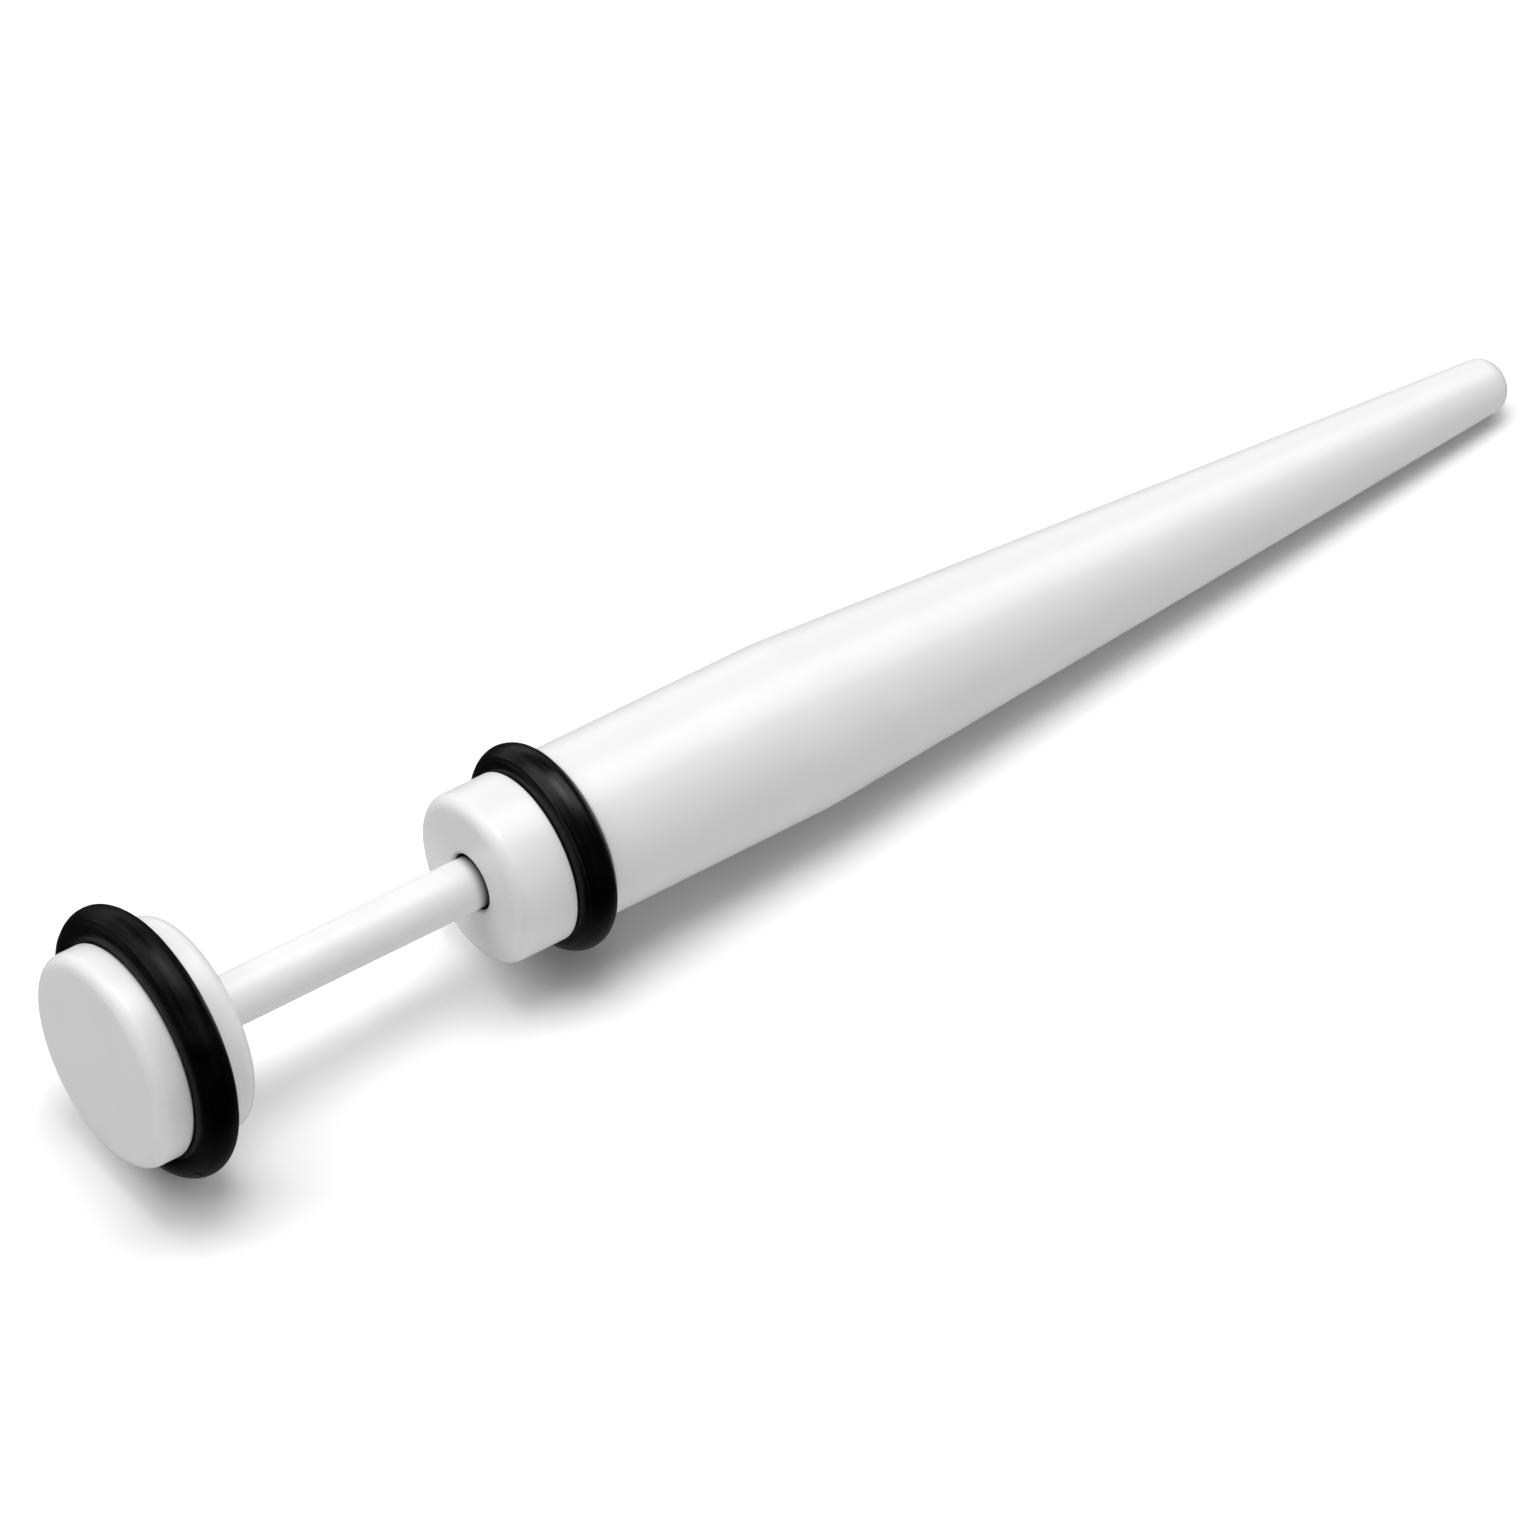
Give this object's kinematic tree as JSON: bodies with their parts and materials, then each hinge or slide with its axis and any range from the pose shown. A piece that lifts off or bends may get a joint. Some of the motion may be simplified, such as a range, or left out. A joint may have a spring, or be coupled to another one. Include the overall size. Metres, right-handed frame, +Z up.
{
  "type": "faux taper earring",
  "caption": "Faux taper earring: a grooved front disc on a thin post that screws into a long round taper, each with a rubber O-ring, worn through a pierced ear lobe.",
  "frame": {"origin": "centre of the bottom of the bounding box, on the surface that the earring lies on", "axes": "+X along the earring from the front disc towards the tip, level; +Z up; the earring's own axis dips 3.9 degrees towards the tip, in the XZ plane"},
  "size_m": [0.0386, 0.0064, 0.0063],
  "materials": {
    "white_acrylic": "polished gloss white",
    "white_post": "smooth gloss white",
    "black_rubber": "satin black"
  },
  "bodies": {
    "taper_half": {"taper": "white_acrylic", "back_o_ring": "black_rubber"},
    "stud_half": {"front_disc": "white_acrylic", "front_o_ring": "black_rubber", "post": "white_post"}
  },
  "joints": [
    {"name": "post_unscrew", "type": "slide", "parent": "taper_half", "child": "stud_half", "axis": [-0.9977, 0, 0.0678], "range_m": [0, 0.012]}
  ]
}
